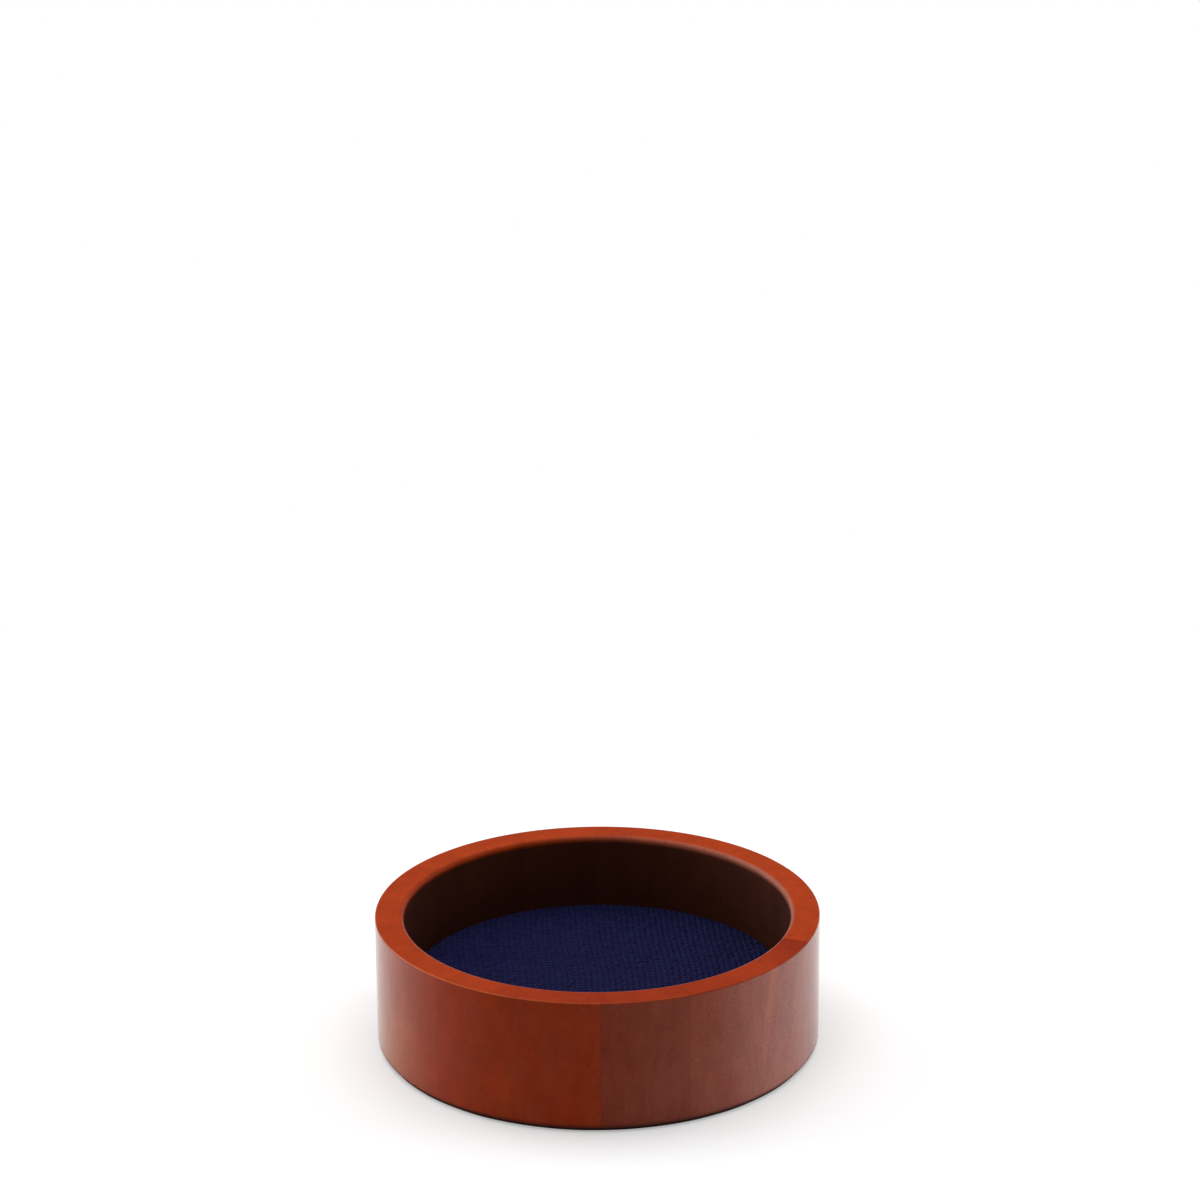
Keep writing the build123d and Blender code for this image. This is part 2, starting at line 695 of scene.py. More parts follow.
def stave_list():
    """All staves in order, with the tones that the front of the coaster shows, painted light and shade among
    them.
    """
    staves = [Stave(number) for number in range(1, len(STAVES) + 1)]
    for number, coolness_and_sheen, shade, rim_tone_and_shadow, wear_and_highlight in SEEN_TONES:
        stave = staves[number - 1]
        stave.coolness_and_sheen, stave.shade, stave.rim_tone_and_shadow, stave.wear_and_highlight = coolness_and_sheen, shade, rim_tone_and_shadow, wear_and_highlight
    return staves


class StaveRegions:
    """Where a point of a stave lies: its place in millimetres and, from 0 to 1, the regions that it is in.

    The stave's own axes are radial, tangential and up.
    """

    def __init__(self, nodes, stave):
        half = STAVE_ANGLE / 2
        turned = {"Vector": nodes.millimetres(), "Rotation": (0.0, 0.0, -stave.middle)}
        local = nodes.put("Mapping", turned).outputs[0]
        self.radial, self.tangent, self.height = nodes.parts(local)
        self.radius = nodes.from_axis(local)

        # Across from joint to joint, and close to either joint
        width = nodes.times(self.radial, 2 * math.tan(half))
        self.across = nodes.plus(nodes.calc("DIVIDE", self.tangent, width), 0.5)
        beside = nodes.times(nodes.calc("ABSOLUTE", self.tangent), math.cos(half))
        from_joint = nodes.scaled(self.radial, math.sin(half), nodes.times(beside, -1.0))
        self.joint = nodes.fall(from_joint, *JOINT_FADE)

        # The wall inside the well, below the rim's rounding
        inner = nodes.fall(self.radius, *from_edge(WELL_MM, INNER_WALL_FADE))
        self.inside = nodes.times(inner, nodes.fall(self.height, *from_edge(RIM_MM, INNER_TOP_FADE)))

        # The wall without the rim, the rim's rounding, its worn outer edge with a painted highlight and the
        # foot
        below_rim = nodes.fall(self.height, *from_edge(RIM_MM, WALL_TOP_FADE))
        self.upright = nodes.times(below_rim, nodes.rise(self.radius, *from_edge(WELL_MM, WALL_INNER_FADE)))
        self.rounding = nodes.fall(self.radius, *from_edge(WELL_MM, ROUNDING_FADE))
        corner = nodes.plus(self.radius, self.height)
        self.worn_and_highlight = nodes.rise(corner, *from_edge(RING_MM + RIM_MM, WORN_AND_HIGHLIGHT_FADE))
        self.foot = nodes.fall(self.height, *from_edge(FOOT_MM, FOOT_FADE))


class StaveGrain:
    """How a stave's wood varies, from 0 to 1.

    Growth rings are circles about a pith that runs up beside the stave, leaned by a shear. Fibres and pores
    are noise drawn out along the grain.
    """

    def __init__(self, nodes, stave, wood, at):
        self.leaned = nodes.scaled(at.height, -stave.lean, at.tangent)
        grain = nodes.joined(at.radial, self.leaned, at.height)
        seeded = nodes.vector("ADD", grain, stave.start)
        self.fibre = nodes.noise(seeded, *FIBRE)
        self.cloud = nodes.noise(seeded, *CLOUD)
        self.flush = nodes.noise(seeded, *FLUSH)
        self.speckle = nodes.noise(seeded, *SPECKLE)
        self.blotch = nodes.noise(seeded, *BLOTCH)

        # Late wood, the darker part of each growth ring
        drift = nodes.noise(seeded, *RING_DRIFT)
        from_pith = nodes.from_axis(nodes.vector("SUBTRACT", grain, stave.pith))
        drifted = nodes.scaled(drift, RING_DRIFT_REACH, from_pith)
        ring = nodes.calc("FRACT", nodes.calc("DIVIDE", drifted, wood.ring_spacing / MM))
        begin, darkest, end = LATE_WOOD
        self.late = nodes.times(nodes.rise(ring, begin, darkest), nodes.fall(ring, darkest, end))

        # Pores, in a share of the cells of a drawn-out pattern
        rates = [PORE_SHARE * MM / size for size in (wood.pore_width, wood.pore_width, wood.pore_length)]
        place = nodes.vector("MULTIPLY", seeded, rates)
        cell = nodes.put("TexVoronoi", {"Vector": place, "Scale": 1.0}, feature="F1").outputs
        spot = nodes.fall(cell["Distance"], *PORE_EDGE)
        chosen = nodes.put("SeparateColor", {0: cell["Color"]}).outputs[0]
        shut = 1.0 - stave.pores
        self.pore = nodes.times(spot, nodes.rise(chosen, shut, shut + PORE_CHOICE))


def sapwood_streak(nodes, at, grain):
    """How far a narrow leaning streak shows: it starts at a joint, and is wider and clearer higher up."""
    joint_line = math.sin(STAVE_ANGLE / 2) * RING_MM
    off_line = nodes.calc("ABSOLUTE", nodes.plus(grain.leaned, joint_line + STREAK_SHIFT))
    half_width = nodes.scaled(at.height, STREAK_GROWTH, STREAK_HALF_WIDTH)
    narrow = nodes.fall(nodes.calc("DIVIDE", off_line, half_width), *STREAK_EDGE)
    outer = nodes.times(at.upright, nodes.rise(at.radius, *from_edge(RING_MM, OUTER_FADE)))
    clear = nodes.span(nodes.rise(at.height, *STREAK_FADE), *STREAK_SHARES)
    return nodes.times(narrow, nodes.times(outer, clear))


def stain_colour(nodes, stave, wood, at, grain):
    """The colour of the stain, which changes evenly from joint to joint and with the grain, with painted
    sheen, shadow and highlights in it.
    """
    flushed = nodes.calc("SUBTRACT", grain.flush, 0.5)
    # The coolness blends in the cool stain, which is partly painted sheen on the sides of the wall
    coolness_and_sheen = nodes.scaled(flushed, FLUSH_REACH, nodes.span(at.across, *stave.coolness_and_sheen))
    # Lower down the cool stain's painted sheen gives way to tan
    thin = nodes.fall(at.height, *TAN_FADE)
    brown = nodes.blend(nodes.times(thin, stave.tan), wood.cool_and_sheen, wood.tan)
    wall = nodes.blend(coolness_and_sheen, wood.warm, brown)
    # The rim turns towards the deep stain: random tone, and on the front staves a painted shadow and dark
    # reflection
    rim = nodes.blend(nodes.span(at.across, *stave.rim_tone_and_shadow), wood.deep, wood.rim)
    colour = nodes.blend(at.upright, rim, wall)
    blotch = nodes.calc("MULTIPLY_ADD", grain.blotch, *BLOTCH_GAIN, clamp=True)
    colour = nodes.blend(nodes.times(blotch, BLOTCH_SHARE), colour, wood.deep)
    colour = nodes.blend(nodes.times(grain.late, LATE_SHARE), colour, wood.deep)
    if stave.streak:
        colour = nodes.blend(sapwood_streak(nodes, at, grain), colour, wood.pale)
    # Worn outer edge of the rim, partly a painted highlight along it
    colour = nodes.blend(nodes.times(at.worn_and_highlight, stave.wear_and_highlight), colour, wood.worn_and_highlight)
    # A painted highlight on the rim's inner rounding, in the pale colour
    painted_highlight = nodes.times(at.rounding, nodes.span(at.across, *stave.painted_highlight))
    colour = nodes.blend(painted_highlight, colour, wood.pale)
    # The darker inside stain paints the shade in the well
    return nodes.blend(at.inside, colour, wood.inside)


def stain_tone(nodes, stave, at, grain):
    """How light the stain is: the product of the tones of the grain and of each region, with painted light
    and shade among them.
    """
    specks = nodes.calc("SUBTRACT", grain.speckle, 0.5)
    specks = nodes.times(specks, nodes.span(at.upright, *SPECKLE_REACH))
    tone = nodes.times(nodes.span(grain.fibre, *FIBRE_TONES), nodes.plus(specks, 1.0))
    tone = nodes.times(tone, nodes.span(grain.cloud, *CLOUD_TONES))
    tone = nodes.dimmed(tone, grain.pore, PORE_DEPTH)
    tone = nodes.dimmed(tone, at.joint, JOINT_DEPTH)
    # Painted shade on the rim's inner rounding
    tone = nodes.dimmed(tone, at.rounding, ROUNDING_SHADE_DEPTH)
    # Painted shade in the well: the wall is darker at the floor, and darker still where a cast shadow is
    # painted
    above_floor = nodes.rise(at.height, FLOOR_MM, FLOOR_MM + PAINTED_WELL_SHADE_HEIGHT)
    painted_well_shade = nodes.span(above_floor, *stave.painted_inner_shade)
    tone = nodes.times(tone, nodes.span(at.inside, 1.0, painted_well_shade))
    # Painted light: the low wall is lighter as if lit by the table's bounce; each stave's shade is partly
    # painted light and shade
    painted_floor_bounce = nodes.span(nodes.fall(at.height, *FLOOR_BOUNCE_FADE), *FLOOR_BOUNCE_TONES)
    wall_tone_and_light = nodes.times(nodes.span(at.across, *stave.shade), painted_floor_bounce)
    tone = nodes.times(tone, nodes.span(at.upright, 1.0, wall_tone_and_light))
    # Painted contact shade at the foot
    return nodes.dimmed(tone, at.foot, FOOT_SHADE_DEPTH)


def stained_wood(stave, wood):
    """Stained and lacquered wood of one stave, duller where the lacquer is thin."""
    material, nodes, shader = principled(f"stained_stave_{stave.number:02d}")
    at = StaveRegions(nodes, stave)
    grain = StaveGrain(nodes, stave, wood, at)
    colour = stain_colour(nodes, stave, wood, at, grain)
    tone = stain_tone(nodes, stave, at, grain)
    rough = nodes.scaled(grain.fibre, FIBRE_DULLING, wood.gloss_roughness - FIBRE_DULLING / 2)
    rough = nodes.scaled(at.inside, INSIDE_DULLING, rough)
    rough = nodes.scaled(at.foot, FOOT_DULLING, rough)
    rough = nodes.scaled(at.rounding, ROUNDING_DULLING, rough)
    nodes.feed(shader, {
        "Base Color": nodes.toned(colour, tone),
        "Roughness": rough,
        "IOR": wood.lacquer_ior,
        "Specular Tint": wood.lacquer_tint,
    })
    relief = nodes.scaled(grain.pore, -1.0, nodes.times(grain.fibre, FIBRE_RELIEF))
    nodes.bump(shader, nodes.scaled(at.joint, -JOINT_RELIEF, relief), LACQUER_RELIEF)
    return material


class COASTER_OT_finish_staves(bpy.types.Operator):
    """Stain and lacquer the staves"""

    bl_idname = "coaster.finish_staves"
    bl_label = "Finish staves"

    def execute(self, context):
        wood = context.scene.coaster_wood
        for stave, node in zip(stave_list(), STAVES):
            dress(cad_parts[node], stained_wood(stave, wood))
        return {"FINISHED"}


# Base disc and mounting board


def plywood():
    """Raw plywood: plies of alternate tone up its edge, long grain on its faces, a stained margin on top."""
    pale, tawny = (0.52, 0.35, 0.19), (0.68, 0.50, 0.30)
    cross_ply, fleck, stain = (0.36, 0.22, 0.11), (0.30, 0.18, 0.09), (0.045, 0.010, 0.005)
    ply_pair, ply_share = 3.0, 0.45
    fleck_edge, roughness = (0.66, 0.74), (0.62, 0.8)
    margin_fade, top_fade = (-3.0, -2.0), (-0.8, -0.5)
    material, nodes, shader = principled("raw_plywood")
    place = nodes.millimetres()
    height = nodes.parts(place)[2]
    ply = nodes.calc("GREATER_THAN", nodes.calc("FRACT", nodes.calc("DIVIDE", height, ply_pair)), 0.5)
    fibre = nodes.noise(place, (0.05, 1.6, 1.0), detail=4.0, roughness=0.6)
    flecks = nodes.noise(place, (0.3, 2.5, 2.5))
    wood = nodes.blend(fibre, pale, tawny)
    wood = nodes.blend(nodes.times(ply, ply_share), wood, cross_ply)
    wood = nodes.blend(nodes.rise(flecks, *fleck_edge), wood, fleck)
    margin = nodes.rise(nodes.from_axis(place), *from_edge(CANVAS_HIGH.x / MM, margin_fade))
    top = nodes.rise(height, *from_edge(BASE_TOP_MM, top_fade))
    wood = nodes.blend(nodes.times(margin, top), wood, stain)
    nodes.feed(shader, {"Base Color": wood, "Roughness": nodes.span(fibre, *roughness)})
    nodes.bump(shader, fibre, depth=0.06 * MM)
    return material


def hardboard():
    """Pressed hardboard: brown fibres in every direction, with a slight shine on the faces."""
    dark, mid, strand = (0.075, 0.035, 0.014), (0.19, 0.10, 0.045), (0.24, 0.14, 0.07)
    strand_edge, roughness = (0.55, 0.72), (0.42, 0.62)
    material, nodes, shader = principled("pressed_hardboard")
    place = nodes.millimetres()
    fine = nodes.noise(place, 2.2, detail=5.0, roughness=0.7)
    coarse = nodes.noise(place, (0.9, 0.35, 0.6), detail=3.0)
    brown = nodes.blend(fine, dark, mid)
    brown = nodes.blend(nodes.rise(coarse, *strand_edge), brown, strand)
    nodes.feed(shader, {"Base Color": brown, "Roughness": nodes.span(fine, *roughness)})
    nodes.bump(shader, fine, depth=0.03 * MM)
    return material


class COASTER_OT_finish_boards(bpy.types.Operator):
    """Give the base disc and the mounting board their raw surfaces"""

    bl_idname = "coaster.finish_boards"
    bl_label = "Finish boards"

    def execute(self, context):
        dress(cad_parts["base_disc"], plywood())
        dress(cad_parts["mounting_board"], hardboard())
        return {"FINISHED"}


# Padding

WAD_SEGMENTS = 96
WAD_RINGS = 24
WAD_FOOT_RINGS = 12
WAD_FOOT_SHARE = 0.998

# Top of the wad: how far it is crowned and its edge rounded, as shares of its thickness, and the power of the
# radius that keeps the rounding at the edge
WAD_CROWN = 0.25
WAD_ROUNDING = 0.5
WAD_ROUNDING_POWER = 24

# Edge of the wad: how far it pulls in as a share of the radius, its waves and their seed
WAD_PULL = 0.004
WAD_WAVES = 9
WAD_SEED = 7


def wadding():
    """Soft white wadding: fine fibres, with a sheen."""
    shaded, lit = (0.62, 0.60, 0.54), (0.86, 0.85, 0.80)
    material, nodes, shader = principled("soft_wadding")
    fibre = nodes.noise(nodes.millimetres(), (1.6, 0.8, 1.6), detail=6.0, roughness=0.7)
    nodes.feed(shader, {
        "Base Color": nodes.blend(fibre, shaded, lit),
        "Roughness": 0.95,
        "Sheen Weight": 0.3,
    })
    nodes.bump(shader, fibre, depth=0.3 * MM)
    return material


def wad_profile(reach, low, high):
    """Half the wad's outline: a flat foot, then a crowned top.

    At a share s of the radius the top lies below its middle by the crown times s squared, and by the rounding
    times a high power of s.
    """
    thick = high - low
    spread = np.linspace(INNERMOST, 1.0, WAD_RINGS)
    crown = high - WAD_CROWN * thick * spread**2 - WAD_ROUNDING * thick * spread**WAD_ROUNDING_POWER
    top = np.stack([reach * spread, crown], axis=1)
    foot = level(reach * np.linspace(WAD_FOOT_SHARE, INNERMOST, WAD_FOOT_RINGS), low)
    return np.concatenate([foot[::-1], top[::-1]])


class COASTER_OT_lay_padding(bpy.types.Operator):
    """Lay the wad of padding on the board"""

    bl_idname = "coaster.lay_padding"
    bl_label = "Lay padding"

    def execute(self, context):
        low, high = PADDING_LOW.z, PADDING_HIGH.z
        grid = spun(wad_profile(PADDING_HIGH.x, low, high), WAD_SEGMENTS)
        waves = ripple(even_angles(WAD_SEGMENTS), WAD_PULL, WAD_WAVES, WAD_SEED)
        grid[..., :2] *= (1 - waves**2 / WAD_PULL)[None, :, None]
        wad = piece("padding_wad", *closed(grid, low, high), "wadding")
        dress(wad, wadding())
        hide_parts("padding")
        return {"FINISHED"}


# Needlepoint

HEM_WIDTH = 11.0 * MM
CANVAS_SHOULDER = 1.2 * MM

# Rings of the canvas along its profile, and points in each
FLOOR_RINGS = 32
SHOULDER_RINGS = 6
SIDE_RINGS = 6
FOLD_RINGS = 4
HEM_RINGS = 8
CANVAS_SEGMENTS = 144

# Share of the floor's radius that the inner group of stitches covers, and rows that go down the side
FIELD_SHARE = 0.72
SIDE_ROWS = 1.5

# One stitch: rings along it, points round it, and how far it runs past the holes
STITCH_RINGS = 7
STITCH_SIDES = 6
STITCH_STRETCH = 1.12
STITCH_SEED = 13

# How a stitch swells: powers of the swell for its width and height, and as shares of the yarn's height half
# its own height, and its middle line's depth in the holes and rise between them
WIDTH_POWER = 0.25
HEIGHT_POWER = 0.35
HALF_HEIGHT = 0.46
HOLE_DEPTH = 0.10
MIDDLE_RISE = 0.62

# Unevenness of the stitches: the mesh's slow sway and the spread of place, slant, fullness and shade
SWAY = 0.15
SWAY_LENGTH = 8 * MM
SWAY_PHASES = (0.8, 2.1)
PLACE_SPREAD = 0.035
SLANT_SPREAD = 0.05
FULLNESS_SPREAD = 0.06
SHADE_SPREAD = 0.6


class Insert:
    """The covered board: a flat floor, a shoulder and a side, measured on the canvas under the stitches."""

    def __init__(self, needlepoint):
        self.pitch = INCH / needlepoint.mesh_count
        self.yarn = needlepoint.yarn_height
        self.top = CANVAS_HIGH.z - self.yarn
        self.reach = CANVAS_HIGH.x - self.yarn
        self.shoulder = CANVAS_SHOULDER
        self.flat = self.reach - self.shoulder
        self.foot = CANVAS_LOW.z
        self.thick = self.top - PADDING_HIGH.z
        self.hem = HEM_WIDTH

    def drape(self, across, height):
        """Lays flat points over the insert.

        A point at distance s from the centre stays flat up to the floor's edge, goes round the shoulder by
        the angle (s - edge) / shoulder, and then runs straight down the side. height is measured outwards.
        """
        distance = np.maximum(np.hypot(across[..., 0], across[..., 1]), 1e-9)
        bend = np.clip((distance - self.flat) / self.shoulder, 0, math.pi / 2)
        down = np.maximum(distance - self.flat - self.shoulder * math.pi / 2, 0)
        straight = np.minimum(distance, self.flat)
        radius = straight + (self.shoulder + height) * np.sin(bend)
        up = self.top - self.shoulder + (self.shoulder + height) * np.cos(bend) - down
        out = across / distance[..., None]
        return np.stack([out[..., 0] * radius, out[..., 1] * radius, up], axis=-1)


def canvas_cloth(needlepoint):
    """Even-weave canvas: threads along both sides of the cut, over and under, at the mesh's own pitch."""
    material, nodes, shader = principled("needlepoint_ground")
    cut = nodes.parts(nodes.put("UVMap", uv_map="cut").outputs[0])
    rate = math.tau * needlepoint.mesh_count / INCH
    waves = [nodes.calc("SINE", nodes.times(cut[side], rate)) for side in (0, 1)]
    weave = nodes.scaled(nodes.times(*waves), 0.5, 0.5)
    fibre = nodes.noise(nodes.millimetres(), 6.0, detail=3.0)
    dark = share_of(needlepoint.ground, 0.5)
    nodes.feed(shader, {
        "Base Color": nodes.blend(nodes.times(weave, fibre), dark, needlepoint.ground),
        "Roughness": 0.9,
        "Specular IOR Level": 0.1,
    })
    nodes.bump(shader, weave, depth=0.2 * MM)
    return material


def wool_yarn(needlepoint):
    """Navy wool: two plies twisted along each stitch, fine fibres and a shade for each stitch."""
    twists, hairs_along, hairs_across = 1.6, 3.0, 16.0
    fibre_tones, shade_reach, hair_relief = (0.7, 1.3), 0.16, 0.4
    material, nodes, shader = principled("navy_wool")
    along, around, shade = nodes.parts(nodes.put("Attribute", attribute_name="strand").outputs["Vector"])
    twist = nodes.scaled(along, twists, around)
    ply = nodes.calc("ABSOLUTE", nodes.calc("SINE", nodes.times(twist, math.tau)))
    fibre = nodes.noise(nodes.millimetres(), 7.0, detail=3.0, roughness=0.6)
    strands = nodes.joined(nodes.times(along, hairs_along), nodes.times(twist, hairs_across), shade)
    hair = nodes.noise(strands, 1.0)
    lift = nodes.times(nodes.scaled(hair, 0.9, 0.1), ply)
    colour = nodes.blend(lift, needlepoint.navy, needlepoint.navy_light)
    tone = nodes.times(nodes.span(fibre, *fibre_tones), nodes.scaled(shade, shade_reach, 1.0))
    nodes.feed(shader, {
        "Base Color": nodes.toned(colour, tone),
        "Roughness": 0.85,
        "Specular IOR Level": 0.18,
        "Sheen Weight": 0.05,
        "Sheen Roughness": 0.5,
        "Sheen Tint": (0.25, 0.28, 0.6),
    })
    nodes.bump(shader, nodes.scaled(hair, hair_relief, ply), depth=0.08 * MM)
    return material


def canvas_sheet(insert):
    """The canvas as one sheet: floor, shoulder, side, fold and hem, turned about the middle.

    The profile is a run of even steps out to the shoulder, a quarter circle, the straight side, a quarter
    circle under the board and the hem back in. Its cut coordinate is the length along the profile.
    """
    fold = 0.5 * insert.thick
    steps = np.linspace(INNERMOST, 1.0, FLOOR_RINGS) * insert.flat
    floor = level(steps, insert.top)
    bend = (insert.flat, insert.top - insert.shoulder)
    shoulder = arc(bend, insert.shoulder, 90, 0, SHOULDER_RINGS + 1)[1:]
    low = insert.foot + 2 * fold
    downward = np.linspace(shoulder[-1, 1], low, SIDE_RINGS + 1)[1:]
    side = np.stack([np.full(SIDE_RINGS, insert.reach), downward], axis=1)
    turn_under = arc((insert.reach - fold, low), fold, 0, -90, FOLD_RINGS + 1)[1:]
    inward = np.linspace(turn_under[-1, 0], insert.reach - insert.hem, HEM_RINGS + 1)[1:]
    profile = np.concatenate([floor, shoulder, side, turn_under, level(inward, turn_under[-1, 1])])
    grid = spun(profile, CANVAS_SEGMENTS)
    lengths = np.concatenate([[steps[0]], steps[0] + np.cumsum(np.hypot(*np.diff(profile, axis=0).T))])
    cut = spun(level(lengths, 0.0), CANVAS_SEGMENTS)[..., :2]
    points = np.concatenate([grid.reshape(-1, 3), [[0, 0, insert.top]]])
    flat = np.concatenate([cut.reshape(-1, 2), [[0, 0]]])
    faces = ring_faces(len(profile), CANVAS_SEGMENTS)[:, ::-1].tolist()
    faces += cap_faces(0, len(points) - 1, CANVAS_SEGMENTS, False).tolist()
    return points, faces, flat, lengths[-1]


def stitch_middles(insert, nearest, furthest):
    """Middles of the mesh's squares that lie between two distances from the centre, for one stitch each."""
    count = int(furthest / insert.pitch) + 3
    column, row = np.meshgrid(np.arange(-count, count), np.arange(-count, count), indexing="ij")
    middle = (np.stack([column.ravel(), row.ravel()], axis=1) + 0.5) * insert.pitch
    far = np.hypot(*middle.T)
    return middle[(far >= nearest) & (far < furthest)]


def stitches(name, insert, needlepoint, nearest, furthest, wool):
    """Tent stitches whose middles lie between two distances from the centre.

    Each stitch crosses the canvas from hole (i, j) to hole (i + 1, j + 1). It is a pod: ellipses along its
    line whose width and height are powers of sin(pi u), drawn to a point in each hole.
    """
    rings, sides, pitch = STITCH_RINGS, STITCH_SIDES, insert.pitch
    middle = stitch_middles(insert, nearest, furthest)
    total = len(middle)
    draw = np.random.default_rng(STITCH_SEED + int(nearest / MM))
    middle += SWAY * pitch * np.sin(middle[:, ::-1] / SWAY_LENGTH + SWAY_PHASES)
    middle += draw.normal(0, PLACE_SPREAD * pitch, middle.shape)
    slant = math.pi / 4 + draw.normal(0, SLANT_SPREAD, total)
    fullness = needlepoint.yarn_fullness * draw.normal(1, FULLNESS_SPREAD, total)

    # One pod, along its line and round it
    u = 0.5 - 0.5 * np.cos(np.linspace(0, math.pi, rings))
    v = np.arange(sides) / sides
    swell = np.maximum(np.sin(math.pi * u), 0.0)
    half_length = 0.5 * math.sqrt(2) * pitch * STITCH_STRETCH
    half_width = pitch / math.sqrt(2) / 2 * swell**WIDTH_POWER
    half_height = HALF_HEIGHT * insert.yarn * swell**HEIGHT_POWER
    centre_height = insert.yarn * (MIDDLE_RISE * swell**WIDTH_POWER - HOLE_DEPTH)
    angle = math.tau * v - math.pi / 2

    # All pods on the flat mesh, turned with its rows and laid over the insert
    forward = np.stack([np.cos(slant), np.sin(slant)], axis=1)
    sideways = np.stack([-forward[:, 1], forward[:, 0]], axis=1)
    run = half_length * (2 * u - 1)
    width = half_width[:, None] * np.cos(angle)
    line = middle[:, None, None, :] + forward[:, None, None, :] * run[None, :, None, None]
    spread = sideways[:, None, None, :] * (fullness[:, None, None] * width[None])[..., None]
    height = centre_height[:, None] + half_height[:, None] * np.sin(angle)
    across = line + spread
    sine, cosine = math.sin(needlepoint.row_turn), math.cos(needlepoint.row_turn)
    turned = np.stack([across[..., 0] * cosine - across[..., 1] * sine,
                       across[..., 0] * sine + across[..., 1] * cosine], axis=-1)
    points = insert.drape(turned, np.broadcast_to(height, (total, rings, sides)))
    inner = points[:, 1:-1].reshape(total, -1, 3)
    ends = points[:, [0, -1], 0]
    points = np.concatenate([inner, ends], axis=1)

    each = points.shape[1]
    tube = ring_faces(rings - 2, sides)
    first = cap_faces(0, each - 2, sides, True)
    last = cap_faces(rings - 3, each - 1, sides, False)
    shift = (np.arange(total) * each)[:, None, None]
    faces = (tube[None] + shift).reshape(-1, 4).tolist()
    faces += (np.concatenate([first, last])[None] + shift).reshape(-1, 3).tolist()

    # Place along the stitch, round it, and the stitch's shade, for the wool
    shade = draw.normal(0, SHADE_SPREAD, total)
    strand = np.zeros((total, each, 3))
    strand[:, :-2, 0] = np.repeat(u[1:-1], sides)
    strand[:, :-2, 1] = np.tile(v, rings - 2)
    strand[:, -1, 0] = 1.0
    strand[:, -2:, 1] = 0.5
    strand[..., 2] = shade[:, None]
    made = piece(name, points.reshape(-1, 3), faces, "needlepoint")
    made.data.attributes.new("strand", "FLOAT_VECTOR", "POINT").data.foreach_set("vector", strand.ravel())
    dress(made, wool)
    return made


class COASTER_OT_stretch_canvas(bpy.types.Operator):
    """Draw the canvas over the padding and the board, and work the tent stitches"""

    bl_idname = "coaster.stretch_canvas"
    bl_label = "Stretch canvas"

    def execute(self, context):
        needlepoint = context.scene.coaster_needlepoint
        insert = Insert(needlepoint)
        points, faces, flat, cut_radius = canvas_sheet(insert)
        canvas = piece("canvas_ground", points, faces, "needlepoint")
        corner_points = np.empty(len(canvas.data.loops), np.int32)
        canvas.data.loops.foreach_get("vertex_index", corner_points)
        canvas.data.uv_layers.new(name="cut").data.foreach_set("uv", flat[corner_points].ravel())
        dress(canvas, canvas_cloth(needlepoint))
        skin = canvas.modifiers.new("thickness", "SOLIDIFY")
        skin.thickness = insert.thick
        skin.offset = -1.0
        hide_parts("needlepoint_canvas")
        wool = wool_yarn(needlepoint)
        middle = FIELD_SHARE * insert.flat
        whole = insert.flat + insert.shoulder * math.pi / 2 + SIDE_ROWS * insert.pitch
        field = stitches("field_stitches", insert, needlepoint, 0.0, middle, wool)
        border = stitches("border_stitches", insert, needlepoint, middle, whole, wool)
        return {"FINISHED"}


# Felt

# Rings of the felt underneath, and on each half of its edge. Its top is hidden and has every fourth ring.
FELT_RINGS = 40
FELT_EDGE_RINGS = 5
FELT_TOP_STEP = 4
FELT_SEGMENTS = 360

# Rounding of the felt's edge as a share of its thickness, and the waves of the cut, their seed and how close
# to the edge they stay
FELT_EDGE_SHARE = 0.28
FELT_WAVES = 40
FELT_SEED = 21
FELT_EDGE_POWER = 30


def pressed_felt(felt):
    """Pressed felt: matted fibres at two scales with a soft sheen."""
    light, dark = share_of(felt.colour, 2.6), share_of(felt.colour, 0.85)
    fibre_edge, cloud_edge = (0.45, 0.75), (0.35, 0.65)
    material, nodes, shader = principled("pressed_felt")
    place = nodes.millimetres()
    cloud = nodes.noise(place, 0.22, detail=4.0, roughness=0.65)
    matted = nodes.noise(place, (4.0, 1.2, 3.0), detail=5.0, roughness=0.65, distortion=2.0)
    crossed = nodes.noise(place, (1.3, 4.2, 3.0), detail=5.0, roughness=0.65)
    fibre = nodes.calc("MAXIMUM", matted, crossed)
    colour = nodes.blend(nodes.rise(fibre, *fibre_edge), felt.colour, light)
    colour = nodes.blend(nodes.rise(cloud, *cloud_edge), colour, dark)
    nodes.feed(shader, {
        "Base Color": colour,
        "Roughness": 0.95,
        "Specular IOR Level": 0.2,
        "Sheen Weight": 0.06,
        "Sheen Roughness": 0.6,
    })
    nodes.bump(shader, fibre, depth=0.15 * MM)
    return material


